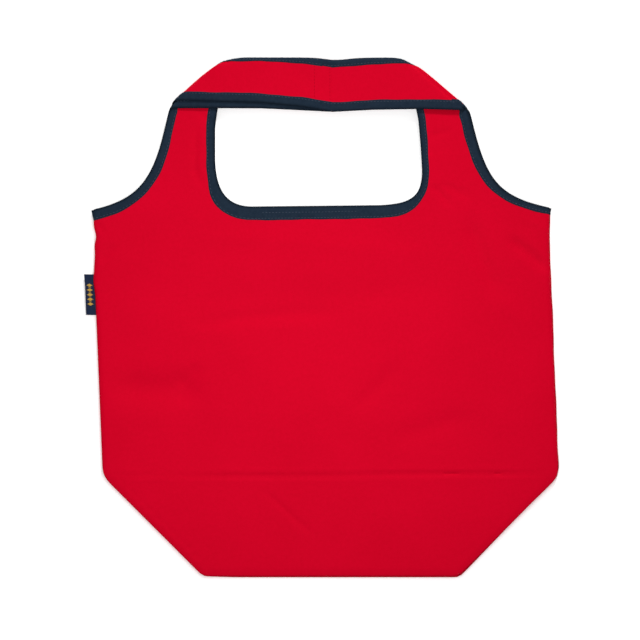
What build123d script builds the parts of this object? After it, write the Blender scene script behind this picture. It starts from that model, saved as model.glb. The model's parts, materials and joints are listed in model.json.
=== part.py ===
"""Foldable tote bag, lying flat on a surface with its bottom gusset folded in and both handles folded over.

Row frame: +X to the bag's right, +Y from the bottom fold to the handles, +Z up out of the surface.
The origin is the middle of the laid bag, on the surface. All sizes are in millimetres.

Layers from the surface up: back panel, the two inner gusset layers, front panel, front handle, back handle.
Cloth is modelled thicker than the real 0.2 mm weave, so that each layer is a sound solid.
"""

import math
import os

from build123d import *

# Outline of the laid bag
LAID_HEIGHT = 519.0
HALF_WIDTH = 228.0
SHOULDER_HALF = 229.0
SHOULDER_Y = 107.0
GUSSET = 100.0  # half the bag's depth, which is also the 45 degree corner fold
LEAN = 9.0  # the bottom lies this far right of the shoulders
FOLD_CORNER_R = 9.0
BOTTOM_Y = -LAID_HEIGHT / 2
GUSSET_Y = BOTTOM_Y + GUSSET

# Mouth, armholes and straps
MOUTH_X = -3.0  # centre line of the mouth and the handles
MOUTH_Y = 110.0
MOUTH_HALF = 102.5
MOUTH_R = 30.0
ARMHOLE_KNEE = (184.0, 120.0)
ARMHOLE_R = 60.0
STRAP_TOP_HALF = 152.0
STRAP_TOP_Y = 203.0
BINDING = 8.5  # finished width of the folded tape
BINDING_GRIP = 7.5  # how far the cloth's edge reaches into the tape
ABOVE = 400.0  # any height clear of the bag

# Fold lines, where one rigid body ends and the next begins
HANDLE_FOLD_Y = 146.0  # both handles fold down over the front from here
JOINT_SLIT = 0.4
FOLD_CLEARANCE = 1.2  # half the space left between two surfaces folded face to face

# Cloth and layers
CLOTH = 0.9
TAPE = 0.3
INSIDE_GAP = 1.7
GUSSET_SLIT = 0.6
LAYER_GAP = 0.6
BACK_Z = 0.0
BACK_INNER_Z = BACK_Z + CLOTH + INSIDE_GAP
FRONT_INNER_Z = BACK_INNER_Z + CLOTH + GUSSET_SLIT
FRONT_Z = FRONT_INNER_Z + CLOTH + INSIDE_GAP
FRONT_BAND_Z = FRONT_Z + CLOTH + LAYER_GAP
BACK_BAND_Z = FRONT_BAND_Z + CLOTH + LAYER_GAP
SIDE_WALL = (BACK_Z + CLOTH, FRONT_Z)

# Seams
SEAM_ALLOWANCE = 8.0
BOTTOM_FOLD_Y = GUSSET_Y + SEAM_ALLOWANCE + 2.0  # the bottom folds up over the front from here
SEAM_THICKNESS = 1.2
SEAM_WALL = 1.0
HANDLE_LAP = 15.0  # the two strap ends overlap this much in the middle of a handle

# Side label
LABEL_LENGTH = 41.0
LABEL_OUT = 10.3
LABEL_THICKNESS = 1.0
LABEL_GAP = 0.3
LABEL_Y = 22.0

# Handle folds: the back handle wraps round the front one
STRAP_WIDTH = STRAP_TOP_HALF - MOUTH_HALF
BACK_BAND_TOP = LAID_HEIGHT / 2
FRONT_FOLD_SHIFT = 1.2  # the front handle's fold lies this far inside the back handle's

LEFT, RIGHT = -1, 1


class Layer:
    """Heights and fold line of one handle.

    A strap runs up at strap_z, turns over its mitre and runs on level at band_z.
    """

    def __init__(self, strap_z, band_z, enter_y):
        self.strap_z = strap_z
        self.band_z = band_z
        self.axis_z = (strap_z + band_z + CLOTH) / 2
        self.outer_r = self.axis_z - strap_z
        self.inner_r = self.outer_r - CLOTH
        self.slip = math.pi * (self.outer_r + self.inner_r) / 2
        self.enter_y = enter_y
        self.band_low = enter_y + self.slip / math.sqrt(2)
        self.band_high = self.band_low + STRAP_WIDTH


BACK_SLIP = math.pi * (BACK_BAND_Z - BACK_Z) / 2
BACK_ENTER_Y = BACK_BAND_TOP - STRAP_WIDTH - BACK_SLIP / math.sqrt(2)
BACK_HANDLE = Layer(BACK_Z, BACK_BAND_Z, BACK_ENTER_Y)
FRONT_HANDLE = Layer(FRONT_Z, FRONT_BAND_Z, BACK_ENTER_Y + FRONT_FOLD_SHIFT * math.sqrt(2))


def side_point(side, y):
    """The point of the side edge at height y."""
    low = (LEAN + side * HALF_WIDTH, GUSSET_Y)
    high = (side * SHOULDER_HALF, SHOULDER_Y)
    share = (y - low[1]) / (high[1] - low[1])
    return low[0] + share * (high[0] - low[0]), y


def body_face():
    """The laid silhouette before the mouth and armholes are cut."""
    bottom_left = (LEAN - HALF_WIDTH + GUSSET, BOTTOM_Y)
    bottom_right = (LEAN + HALF_WIDTH - GUSSET, BOTTOM_Y)
    with BuildSketch() as face:
        with BuildLine():
            FilletPolyline(
                side_point(LEFT, ABOVE),
                side_point(LEFT, GUSSET_Y),
                bottom_left,
                bottom_right,
                side_point(RIGHT, GUSSET_Y),
                side_point(RIGHT, ABOVE),
                radius=FOLD_CORNER_R,
            )
            Line(side_point(RIGHT, ABOVE), side_point(LEFT, ABOVE))
        make_face()
    return face.sketch


def mouth_air(grow):
    """The open space of the mouth, grown into the cloth."""
    half, low, high = MOUTH_HALF + grow, MOUTH_Y - grow, ABOVE + grow
    with BuildSketch() as air:
        with BuildLine():
            FilletPolyline(
                (MOUTH_X - half, high),
                (MOUTH_X - half, low),
                (MOUTH_X + half, low),
                (MOUTH_X + half, high),
                radius=MOUTH_R + grow,
            )
            Line((MOUTH_X + half, high), (MOUTH_X - half, high))
        make_face()
    return air.sketch


def armhole_air(side, grow):
    """The open space outside an armhole and its strap, grown into the cloth."""
    shoulder = Vector(side * SHOULDER_HALF, SHOULDER_Y)
    knee = Vector(MOUTH_X + side * ARMHOLE_KNEE[0], ARMHOLE_KNEE[1])
    strap_top = Vector(MOUTH_X + side * STRAP_TOP_HALF, STRAP_TOP_Y)
    away = shoulder + (shoulder - knee)
    far_x = away.X + side * ABOVE
    with BuildSketch() as air:
        with BuildLine():
            FilletPolyline(away, knee, strap_top, radius=ARMHOLE_R)
            Polyline(
                strap_top,
                (strap_top.X, ABOVE),
                (far_x, ABOVE),
                (far_x, away.Y),
                away,
            )
        make_face()
        if grow:
            offset(amount=grow)
    return air.sketch


def cloth_face(inset):
    """Panel and straps in one flat shape, its mouth and armhole edges drawn in by inset."""
    with BuildSketch() as face:
        add(body_face())
        add(mouth_air(inset), mode=Mode.SUBTRACT)
        add(armhole_air(LEFT, inset), mode=Mode.SUBTRACT)
        add(armhole_air(RIGHT, inset), mode=Mode.SUBTRACT)
    return face.sketch


def between(shape, low, high):
    """What of a flat shape lies between two heights."""
    with BuildSketch() as kept:
        add(shape)
        with Locations((0, low)):
            Rectangle(4 * ABOVE, high - low, align=(Align.CENTER, Align.MIN), mode=Mode.INTERSECT)
    return kept.sketch


def middle_part(shape):
    return between(shape, BOTTOM_FOLD_Y + JOINT_SLIT / 2, HANDLE_FOLD_Y - JOINT_SLIT / 2)


def lower_part(shape):
    return between(shape, BOTTOM_Y - BINDING, BOTTOM_FOLD_Y - JOINT_SLIT / 2)


def strap_part(shape, side, layer):
    """One strap: what lies above the handle fold, on one side, and short of the mitre."""
    mitre = Location((MOUTH_X + side * STRAP_TOP_HALF, layer.enter_y), -45 * side)
    with BuildSketch() as kept:
        add(shape)
        with Locations((0, HANDLE_FOLD_Y + JOINT_SLIT / 2)):
            Rectangle(4 * ABOVE, 4 * ABOVE, align=(Align.CENTER, Align.MAX), mode=Mode.SUBTRACT)
        with Locations((MOUTH_X, 0)):
            away = Align.MAX if side == RIGHT else Align.MIN
            Rectangle(4 * ABOVE, 4 * ABOVE, align=(away, Align.CENTER), mode=Mode.SUBTRACT)
        with Locations(mitre):
            Rectangle(4 * ABOVE, 4 * ABOVE, align=(Align.CENTER, Align.MIN), mode=Mode.SUBTRACT)
    return kept.sketch


def extruded(shape, z, thickness):
    with BuildPart() as plate:
        with BuildSketch(Plane.XY.offset(z)):
            add(shape)
        extrude(amount=thickness)
    return plate.part


FIELD = cloth_face(BINDING)
GRIPPED = cloth_face(BINDING - BINDING_GRIP)
WHOLE = cloth_face(0)


def build_panel(name, face_z):
    """The flat face of the bag between the two fold lines."""
    with BuildPart() as panel:
        add(extruded(middle_part(FIELD), face_z, CLOTH))
        add(extruded(middle_part(GRIPPED), face_z + TAPE, CLOTH - 2 * TAPE))
    panel.part.label = name
    return panel.part


def build_bottom_panel(name, face_z, inner_z):
    """Lower end of a face, turned in at its bottom and corner folds to lie behind itself as half the gusset."""
    low_z, high_z = min(face_z, inner_z), max(face_z, inner_z)
    with BuildPart() as panel:
        add(extruded(between(body_face(), BOTTOM_Y, GUSSET_Y), low_z, high_z - low_z + CLOTH))
        with BuildSketch(Plane.XY.offset(low_z + CLOTH)):
            add(body_face())
            offset(amount=-CLOTH)
        extrude(amount=INSIDE_GAP, mode=Mode.SUBTRACT)
        add(extruded(lower_part(body_face()), face_z, CLOTH))
    panel.part.label = name
    return panel.part


def edge_tape(region, z):
    """A flat run of folded tape: full height, with a slot where it grips the cloth's edge."""
    with BuildPart() as tape:
        add(extruded(region, z, CLOTH))
        add(extruded(GRIPPED, z + TAPE, CLOTH - 2 * TAPE), mode=Mode.SUBTRACT)
    return tape.part


def binding_region(air_grown, air):
    with BuildSketch() as region:
        add(WHOLE)
        add(air_grown, mode=Mode.INTERSECT)
        add(air, mode=Mode.SUBTRACT)
    return region.sketch


MOUTH_TAPE = binding_region(mouth_air(BINDING), mouth_air(0))
ARMHOLE_TAPE = {s: binding_region(armhole_air(s, BINDING), armhole_air(s, 0)) for s in (LEFT, RIGHT)}


def build_mouth_binding(name, z):
    with BuildPart() as binding:
        add(edge_tape(middle_part(MOUTH_TAPE), z))
    binding.part.label = name
    return binding.part


def build_armhole_binding(name, side):
    """Runs round the armhole from the front strap, over the side seam's top end, to the back strap."""
    low_y = SHOULDER_Y - BINDING
    with BuildSketch() as turn:
        add(ARMHOLE_TAPE[side])
        with Locations(side_point(side, low_y)):
            Rectangle(4 * SEAM_WALL, 4 * BINDING, mode=Mode.INTERSECT)
    with BuildPart() as binding:
        add(edge_tape(middle_part(ARMHOLE_TAPE[side]), BACK_Z))
        add(edge_tape(middle_part(ARMHOLE_TAPE[side]), FRONT_Z))
        add(extruded(turn.sketch, SIDE_WALL[0], SIDE_WALL[1] - SIDE_WALL[0]))
    binding.part.label = name
    return binding.part


def upright_plane(origin, x_dir, normal):
    """A plane square to the surface, centred on the height of the side seams."""
    middle = (SIDE_WALL[0] + SIDE_WALL[1]) / 2
    return Plane((origin.X, origin.Y, middle), (x_dir.X, x_dir.Y, 0), (normal.X, normal.Y, 0))


def build_side_seam(name, side, low, high):
    """A stretch of the closed side seam, with its allowance standing inside the bag."""
    start, end = Vector(*side_point(side, low)), Vector(*side_point(side, high))
    along = (end - start).normalized()
    inward = Vector(-side * along.Y, side * along.X)
    across = upright_plane(start, inward, along)
    with BuildPart() as seam:
        with BuildSketch(across):
            Rectangle(SEAM_WALL, SIDE_WALL[1] - SIDE_WALL[0], align=(Align.MIN, Align.CENTER))
            Rectangle(SEAM_ALLOWANCE, SEAM_THICKNESS, align=(Align.MIN, Align.CENTER))
        extrude(amount=(end - start).length)
    seam.part.label = name
    return seam.part


def build_gusset_side_seam(name, side):
    """Foot of the side seam: a short stretch at the edge, then inward along the gusset's inner edge."""
    corner_end = GUSSET_Y + FOLD_CORNER_R * math.tan(math.radians(22.5))
    wall = build_side_seam(name, side, corner_end, BOTTOM_FOLD_Y - JOINT_SLIT / 2)
    edge = side_point(side, GUSSET_Y)[0] - side * SEAM_WALL
    with BuildPart() as seam:
        add(wall)
        with BuildSketch(Plane.XY.offset(BACK_INNER_Z)):
            with Locations((edge, GUSSET_Y)):
                Rectangle(
                    GUSSET - SEAM_WALL,
                    SEAM_ALLOWANCE,
                    align=(Align.MIN if side == LEFT else Align.MAX, Align.MIN),
                )
        extrude(amount=FRONT_INNER_Z + CLOTH - BACK_INNER_Z)
    seam.part.label = name
    return seam.part


def build_bottom_seam():
    """Joins the front and back gusset halves along the middle of the bag's bottom."""
    with BuildPart() as seam:
        with BuildSketch(Plane.XY.offset(BACK_INNER_Z)):
            with Locations((LEAN, GUSSET_Y)):
                Rectangle(2 * (HALF_WIDTH - GUSSET), SEAM_ALLOWANCE, align=(Align.CENTER, Align.MIN))
        extrude(amount=FRONT_INNER_Z + CLOTH - BACK_INNER_Z)
    seam.part.label = "bottom_seam"
    return seam.part


def build_corner_seam(name, side):
    """Box-corner seam, lying folded as a strip inside each gusset pocket."""
    length = GUSSET - 2 * CLOTH
    x = LEAN + side * (HALF_WIDTH - GUSSET)
    with BuildPart() as seam:
        for z in (BACK_INNER_Z - SEAM_THICKNESS, FRONT_INNER_Z + CLOTH):
            with BuildSketch(Plane.XY.offset(z)):
                with Locations((x, GUSSET_Y)):
                    Rectangle(
                        SEAM_ALLOWANCE,
                        length,
                        align=(Align.MAX if side == RIGHT else Align.MIN, Align.MAX),
                    )
            extrude(amount=SEAM_THICKNESS)
    seam.part.label = name
    return seam.part


def fold_roll(side, layer, start, end):
    """The half turn of a strap over its fold line, between two places along that line."""
    along = Vector(-side, 1).normalized()
    outward = Vector(side, 1).normalized()
    entry = Vector(MOUTH_X + side * STRAP_TOP_HALF, layer.enter_y)
    origin = entry + along * (start + layer.slip / 2)
    across = Plane(
        origin=(origin.X, origin.Y, layer.axis_z),
        x_dir=(outward.X, outward.Y, 0),
        z_dir=(along.X, along.Y, 0),
    )
    with BuildPart() as roll:
        with BuildSketch(across):
            Circle(layer.outer_r)
            Circle(layer.inner_r, mode=Mode.SUBTRACT)
            Rectangle(
                2 * layer.outer_r,
                4 * layer.outer_r,
                align=(Align.MAX, Align.CENTER),
                mode=Mode.SUBTRACT,
            )
        extrude(amount=end - start)
    return roll.part


def band_face(side, layer, low, high, reach):
    """One side of a handle's level run, from its fold line to reach past the middle."""
    fold_x = MOUTH_X + side * STRAP_TOP_HALF
    inner_x = MOUTH_X - side * reach
    with BuildSketch() as band:
        with BuildLine():
            Polyline(
                (fold_x - side * (low - layer.enter_y), low),
                (inner_x, low),
                (inner_x, high),
                (fold_x - side * (high - layer.enter_y), high),
                close=True,
            )
        make_face()
    return band.sketch


FOLD_LENGTH = STRAP_WIDTH * math.sqrt(2)
FOLD_BINDING = BINDING * math.sqrt(2)


def build_strap(name, side, layer):
    """Half a handle: up from the hinge line, over the fold and along to the lapped joint."""
    low, high = layer.band_low + BINDING, layer.band_high - BINDING
    grip_low, grip_high = low - BINDING_GRIP, high + BINDING_GRIP
    half_cloth = CLOTH / 2
    lap_z = layer.band_z if side == LEFT else layer.band_z + half_cloth
    with BuildPart() as strap:
        add(extruded(strap_part(FIELD, side, layer), layer.strap_z, CLOTH))
        add(extruded(strap_part(GRIPPED, side, layer), layer.strap_z + TAPE, CLOTH - 2 * TAPE))
        add(fold_roll(side, layer, FOLD_BINDING, FOLD_LENGTH - FOLD_BINDING))
        add(extruded(band_face(side, layer, low, high, -HANDLE_LAP / 2), layer.band_z, CLOTH))
        add(
            extruded(
                band_face(side, layer, grip_low, grip_high, -HANDLE_LAP / 2),
                layer.band_z + TAPE,
                CLOTH - 2 * TAPE,
            )
        )
        add(extruded(band_face(side, layer, low, high, HANDLE_LAP / 2), lap_z, half_cloth))
    strap.part.label = name
    return strap.part


def build_handle_binding(name, layer, outer):
    """Tape along one edge of a whole handle, from hinge line to hinge line."""
    if outer:
        low, high, roll = layer.band_low, layer.band_low + BINDING, (0, FOLD_BINDING)
        grip_low, grip_high = high - BINDING_GRIP, high
    else:
        low, high = layer.band_high - BINDING, layer.band_high
        roll = (FOLD_LENGTH - FOLD_BINDING, FOLD_LENGTH)
        grip_low, grip_high = low, low + BINDING_GRIP
    with BuildPart() as binding:
        for side in (LEFT, RIGHT):
            region = ARMHOLE_TAPE[side] if outer else MOUTH_TAPE
            add(edge_tape(strap_part(region, side, layer), layer.strap_z))
            add(fold_roll(side, layer, *roll))
            add(extruded(band_face(side, layer, low, high, 0), layer.band_z, CLOTH))
            add(
                extruded(
                    band_face(side, layer, grip_low, grip_high, -HANDLE_LAP / 2),
                    layer.band_z + TAPE,
                    CLOTH - 2 * TAPE,
                ),
                mode=Mode.SUBTRACT,
            )
    binding.part.label = name
    return binding.part


def build_side_label():
    """Folded woven label that stands out of the left side seam. Its rounded root is where it flexes."""
    edge = Vector(*side_point(LEFT, LABEL_Y))
    along = (Vector(*side_point(LEFT, SHOULDER_Y)) - edge).normalized()
    outward = Vector(-along.Y, along.X)
    radius = LABEL_THICKNESS / 2
    pivot = edge + outward * (LABEL_GAP + radius)
    start = pivot - along * (LABEL_LENGTH / 2)
    across = upright_plane(start, outward, along)
    with BuildPart() as label:
        with BuildSketch(across):
            Circle(radius)
            Rectangle(LABEL_OUT - LABEL_GAP - radius, LABEL_THICKNESS, align=(Align.MIN, Align.CENTER))
        extrude(amount=LABEL_LENGTH)
    label.part.label = "side_label"
    return label.part


def main():
    seam_low, seam_high = BOTTOM_FOLD_Y + JOINT_SLIT / 2, SHOULDER_Y - 2 * BINDING
    pieces = [
        build_panel("front_panel", FRONT_Z),
        build_panel("back_panel", BACK_Z),
        build_bottom_panel("front_bottom_panel", FRONT_Z, FRONT_INNER_Z),
        build_bottom_panel("back_bottom_panel", BACK_Z, BACK_INNER_Z),
        build_bottom_seam(),
        build_mouth_binding("front_mouth_binding", FRONT_Z),
        build_mouth_binding("back_mouth_binding", BACK_Z),
        build_side_label(),
    ]
    for word, side in (("left", LEFT), ("right", RIGHT)):
        pieces += [
            build_side_seam(f"{word}_side_seam", side, seam_low, seam_high),
            build_gusset_side_seam(f"{word}_gusset_side_seam", side),
            build_corner_seam(f"{word}_corner_seam", side),
            build_armhole_binding(f"{word}_armhole_binding", side),
        ]
    for word, layer in (("front", FRONT_HANDLE), ("back", BACK_HANDLE)):
        pieces += [
            build_strap(f"{word}_left_strap", LEFT, layer),
            build_strap(f"{word}_right_strap", RIGHT, layer),
            build_handle_binding(f"{word}_handle_outer_binding", layer, True),
            build_handle_binding(f"{word}_handle_inner_binding", layer, False),
        ]
    os.makedirs("parts", exist_ok=True)
    for piece in pieces:
        export_step(piece, f"parts/{piece.label}.step")
    joint_lines()


def joint_lines():
    """Where the three fold axes lie, for the record."""
    front_top = FRONT_Z + CLOTH
    handles_top = BACK_BAND_Z + CLOTH
    print("handles fold", HANDLE_FOLD_Y, (front_top + handles_top) / 2 + FOLD_CLEARANCE)
    print("bottom fold", BOTTOM_FOLD_Y, front_top + FOLD_CLEARANCE)


main()
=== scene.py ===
"""Looks of the foldable tote bag: cloth, tapes, stitching and label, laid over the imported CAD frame.

Shapes are worked out in millimetres and scaled to metres when a mesh is made. A cloth has a flat pattern with
coordinates (u, v), and Cloth.surface() says where each point of the pattern lies on the folded bag.
"""
import json
import math

import bpy
import numpy as np
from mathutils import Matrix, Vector, geometry


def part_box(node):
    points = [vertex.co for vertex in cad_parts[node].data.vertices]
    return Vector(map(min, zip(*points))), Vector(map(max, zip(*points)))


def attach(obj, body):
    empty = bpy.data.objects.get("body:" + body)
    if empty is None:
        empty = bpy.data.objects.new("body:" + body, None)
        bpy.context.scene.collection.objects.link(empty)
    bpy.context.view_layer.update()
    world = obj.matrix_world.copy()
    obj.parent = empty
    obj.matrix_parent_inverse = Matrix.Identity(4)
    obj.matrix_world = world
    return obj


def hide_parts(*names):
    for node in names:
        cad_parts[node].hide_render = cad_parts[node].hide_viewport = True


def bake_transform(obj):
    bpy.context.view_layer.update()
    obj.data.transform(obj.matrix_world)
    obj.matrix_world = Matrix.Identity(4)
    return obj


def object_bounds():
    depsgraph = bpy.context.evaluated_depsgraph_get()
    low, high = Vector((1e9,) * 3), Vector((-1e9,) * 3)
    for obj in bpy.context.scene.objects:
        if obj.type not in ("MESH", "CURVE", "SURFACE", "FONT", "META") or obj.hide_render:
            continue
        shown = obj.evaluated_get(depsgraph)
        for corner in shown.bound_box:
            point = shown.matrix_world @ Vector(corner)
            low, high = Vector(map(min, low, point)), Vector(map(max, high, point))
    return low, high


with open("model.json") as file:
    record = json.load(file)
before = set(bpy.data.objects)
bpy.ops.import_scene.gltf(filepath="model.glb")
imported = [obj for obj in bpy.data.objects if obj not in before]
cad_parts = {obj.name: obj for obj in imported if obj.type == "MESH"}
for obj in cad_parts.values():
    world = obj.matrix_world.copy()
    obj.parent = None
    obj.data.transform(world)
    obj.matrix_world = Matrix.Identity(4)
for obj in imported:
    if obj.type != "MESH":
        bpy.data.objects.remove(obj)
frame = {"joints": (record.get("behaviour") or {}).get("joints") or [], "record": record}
cad_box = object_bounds()
MM = 0.001
LEFT, RIGHT = -1, 1

# ---------------------------------------------------------------- sizes read from the frame


def span(node, axis):
    """Lowest and highest coordinate of a CAD node along one axis, in millimetres."""
    low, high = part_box(node)
    return low[axis] / MM, high[axis] / MM


def centre(node, axis):
    return sum(span(node, axis)) / 2


BOTTOM_Y = cad_box[0][1] / MM
TOP_Y = cad_box[1][1] / MM
GUSSET_Y = span("bottom_seam", 1)[0]
BOTTOM_HALF = (span("bottom_seam", 0)[1] - span("bottom_seam", 0)[0]) / 2
HALF_WIDTH = BOTTOM_HALF + GUSSET_Y - BOTTOM_Y
LEAN = centre("bottom_seam", 0)
CAD_TAPE = 8.5
MOUTH_Y = span("front_mouth_binding", 1)[0] + CAD_TAPE
MOUTH_X = centre("front_mouth_binding", 0)
MOUTH_HALF = span("front_mouth_binding", 0)[1] - MOUTH_X - CAD_TAPE
SHOULDER_Y = span("left_armhole_binding", 1)[0] + CAD_TAPE
CLOTH_Z = span("back_panel", 2)[1] / 2
FRONT_Z = centre("front_panel", 2)
BACK_Z = CLOTH_Z + 0.45  # the tapes on the back's edges lift it a little off the surface
FRONT_INNER_Z = span("front_bottom_panel", 2)[0] + CLOTH_Z
BACK_INNER_Z = span("back_bottom_panel", 2)[1] - CLOTH_Z
SEAM_Z = (FRONT_INNER_Z + BACK_INNER_Z) / 2
FRONT_BAND_Z = span("front_handle_outer_binding", 2)[1] - CLOTH_Z + 0.1
BACK_BAND_Z = span("back_handle_outer_binding", 2)[1] - CLOTH_Z + 0.3
STRAP_Z = {"front": FRONT_Z - 0.2, "back": BACK_Z + 0.2}
LABEL_X = span("side_label", 0)
LABEL_Y = span("side_label", 1)
LABEL_Z = centre("side_label", 2)


def joint_at(name):
    """A joint's place, in metres."""
    return np.array(next(j for j in frame["joints"] if j["name"] == name)["pos_m"])


def body_of(node):
    """The CAD body that a node belongs to."""
    bodies = frame["record"]["behaviour"]["bodies"]
    return next(body for body, nodes in bodies.items() if node in nodes)


HANDLE_FOLD_Y = joint_at("handles_fold")[1] / MM
BOTTOM_FOLD_Y = joint_at("bottom_fold")[1] / MM
SPLIT_Y = -40.0  # each face is made as an upper and a lower mesh that meet along this line

# ---------------------------------------------------------------- pattern

EDGE_R = 5.0  # a side edge rounds down to its seam over this width
EDGE_EXTRA = 1.6  # extra pattern width taken up by that rounding
EDGE_ROWS = (1.1, 2.3, 3.6, 5.0, 6.6)  # mesh rows that keep the rounding smooth
ROLL_ROWS = (2.4, 3.7, 5.0, 6.4, 8.0, 10.0)  # and the rolled upper edges of the handles
PATTERN_HALF = HALF_WIDTH + EDGE_EXTRA
CORNER_K = 7.5  # softness of the corners where the side edges meet the corner folds
FOOT_K = 3.5  # and where the corner folds meet the bottom fold
TIP_K = 6.5  # and at the tips of the mitres

# Each strap: its angle, where its outer edge enters the mitre, its width there and past the mitre, the
# direction in which the armhole meets that entry, the pull of the armhole's curve at its two ends, and how
# far above the shoulder the armhole starts.
STRAP = {
    LEFT: {"angle": 85.0, "entry": (-151.6, 210.3), "width": 46.6, "band": 50.8,
           "edge_angle": 78.0, "shoulder_pull": 55.0, "strap_pull": 67.0, "shoulder_rise": 0.0},
    RIGHT: {"angle": 98.8, "entry": (146.9, 207.1), "width": 50.4, "band": 53.8,
            "edge_angle": 103.0, "shoulder_pull": 59.0, "strap_pull": 71.0, "shoulder_rise": 1.8},
}
BAND_WIDTH = 52.9  # width of the handles in the middle
MOUTH_WIDER = {LEFT: 1.9, RIGHT: 1.7}  # each side of the mouth lies this far outside the CAD tape
STRAP_BENDS = (60, 60, 80)  # radii of the straps' inner edges, from the mitre down
LAP = 18.5  # the two strap ends overlap this much, felled, in the middle of a handle
LAP_LIFT = 0.16
MITRE_REACH = {"front": 0.9, "back": 2.2}  # how far each mitre fold bulges outward
FRONT_MITRE_SHORT = 3.0  # the front straps turn this much sooner, inside the back ones
STRAP_ROOT_Y = 150.0
GATHER_HEIGHT = 0.2
GATHERS_FROM = (11.0, 10.0, 10.0)  # where the gathers start beside the mouth and armhole tapes
GATHERS_TOP_V = 325.0  # they fade out from here, short of the laps
BAND_ROLL_R = {"front": 2.2, "back": 3.5}  # a handle's upper edge rolls down with this radius
BAND_ROLL_IN = {"front": 2.5, "back": 0.6}  # and its mid-surface turns this far inside the silhouette
MAX_ROLL = 1.9  # radians
BACK_SHIFT = (1.0, -1.7)  # the back's right edge and bottom right corner lie this far off the front's

# Where the lower edge of each handle lies, as (x, y) points.
HANDLE_LOW = {
    "front": ((-150, 208.9), (-60, 208.6), (-26, 207.0), (8, 205.3), (40, 207.9), (140, 209.2)),
    "back": ((-150, 216.6), (-60, 214.1), (-20, 209.9), (10, 204.9), (50, 207.0), (100, 207.9),
             (140, 206.6)),
}

TAPE_TOP = 0.62  # half the thickness of a taped edge
TAPE_OVER = 0.7  # how far the tape's fold stands out past the cloth's edge
TAPE_END = {LEFT: 2.4, RIGHT: 1.2}  # how far a tape's end stands out past the side edge
CLOTH_THICK = 0.3
RAW_EDGE_IN = 0.8  # the cloth's raw edge stays this far inside the tape's fold
STEP = 3.2  # spacing of the cloth meshes' points
EDGE_STEP = 1.25  # and of the points along the taped edges

# Soft folds pressed into the laid front: one end, the other end, half-width and height.
FRONT_WRINKLES = (
    ((-71, -175), (-15, -218), 2.4, -0.60),
    ((-202, -164), (-150, -158), 1.7, 0.40),
    ((-140, 72), (118, 70), 9.0, 0.50),
    ((-150, 22), (120, 26), 17.0, -1.20),
    ((-136, -3), (20, -2), 8.0, -1.30),
    ((-216, -76), (-120, -73), 15.0, -2.40),
    ((-150, -70), (-126, -48), 7.0, -0.90),
    ((111, 131), (129, 111), 3.0, -1.10),
    ((143, 101), (178, 16), 9.0, -2.20),
    ((150, 51), (208, -13), 8.0, 0.50),
    ((186, 78), (226, 46), 5.5, -2.10),
    ((205, 98), (226, 84), 2.6, 0.45),
    ((20, -95), (78, -48), 8.0, -0.90),
    ((60, -125), (150, -100), 11.0, -0.90),
    ((106, 180), (131, 187), 2.6, -0.90),
    ((118, 132), (150, 120), 3.5, -0.80),
    ((-120, 196), (-118, 130), 2.8, 0.50),
    ((-127, 190), (-125, 135), 2.8, -0.70),
    ((-128, 150), (-118, 128), 4.0, -0.70),
    ((-123, 206), (-105, 189), 2.6, -0.70),
    ((-222, 54), (-208, 72), 3.6, -0.70),
    ((-226, 96), (-219, 84), 3.0, -0.60),
)
BACK_WRINKLES = (
    ((-150, 70), (60, 84), 9.0, -0.24),
    ((60, -20), (190, -60), 9.0, -0.26),
    ((-190, -90), (-120, -40), 7.0, -0.22),
)


def smooth(t):
    t = np.clip(t, 0.0, 1.0)
    return t * t * (3 - 2 * t)


def bell(x, middle, width):
    return np.exp(-(((x - middle) / width) ** 2))


def height_at(x, points):
    """Height at x of a line through (x, height) points."""
    return np.interp(x, *zip(*points))


def ripple(x, y, wavelength, seed, waves=9):
    """Smooth irregular waves, about -1 to 1."""
    rng = np.random.default_rng(seed)
    total = np.zeros_like(x)
    for _ in range(waves):
        angle, phase = rng.uniform(0, 2 * math.pi, 2)
        length = wavelength * rng.uniform(0.7, 1.5)
        total += np.cos(2 * math.pi * (x * math.cos(angle) + y * math.sin(angle)) / length + phase)
    return total / math.sqrt(waves) / 1.2


def unit(angle):
    return np.array([math.cos(math.radians(angle)), math.sin(math.radians(angle))])


def bezier(p0, p1, p2, p3, count):
    t = np.linspace(0, 1, count)[:, None]
    p0, p1, p2, p3 = (np.array(p, float) for p in (p0, p1, p2, p3))
    return (1 - t) ** 3 * p0 + 3 * (1 - t) ** 2 * t * p1 + 3 * (1 - t) * t * t * p2 + t**3 * p3


def fillet(points, radii):
    """A polyline with its inner corners rounded, as an array of points."""
    points = [np.array(p, float) for p in points]
    out = [points[0]]
    for before, corner, after, radius in zip(points, points[1:], points[2:], radii):
        a = (before - corner) / np.linalg.norm(before - corner)
        b = (after - corner) / np.linalg.norm(after - corner)
        half = math.acos(np.clip(a @ b, -1, 1)) / 2
        reach = radius / math.tan(half)
        turn = math.pi - 2 * half
        if turn < 0.02:
            out.append(corner)
            continue
        bisector = (a + b) / np.linalg.norm(a + b)
        middle = corner + bisector * radius / math.sin(half)
        start, end = corner + a * reach - middle, corner + b * reach - middle
        for t in np.linspace(0, 1, max(3, int(radius * turn / 2.0))):
            spread = (math.sin((1 - t) * turn) * start + math.sin(t * turn) * end) / math.sin(turn)
            out.append(middle + spread)
    out.append(points[-1])
    return np.array(out)


def stations(line):
    """How far along a line each of its points is."""
    return np.r_[0, np.cumsum(np.linalg.norm(np.diff(line, axis=0), axis=1))]


def directions(line):
    """The line's direction at each of its points."""
    ahead = np.gradient(line, axis=0)
    return ahead / np.linalg.norm(ahead, axis=1)[:, None]


def inward_of(line):
    """The direction across a pattern line, to its right."""
    ahead = directions(line)
    return np.stack([ahead[:, 1], -ahead[:, 0]], 1)


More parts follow.
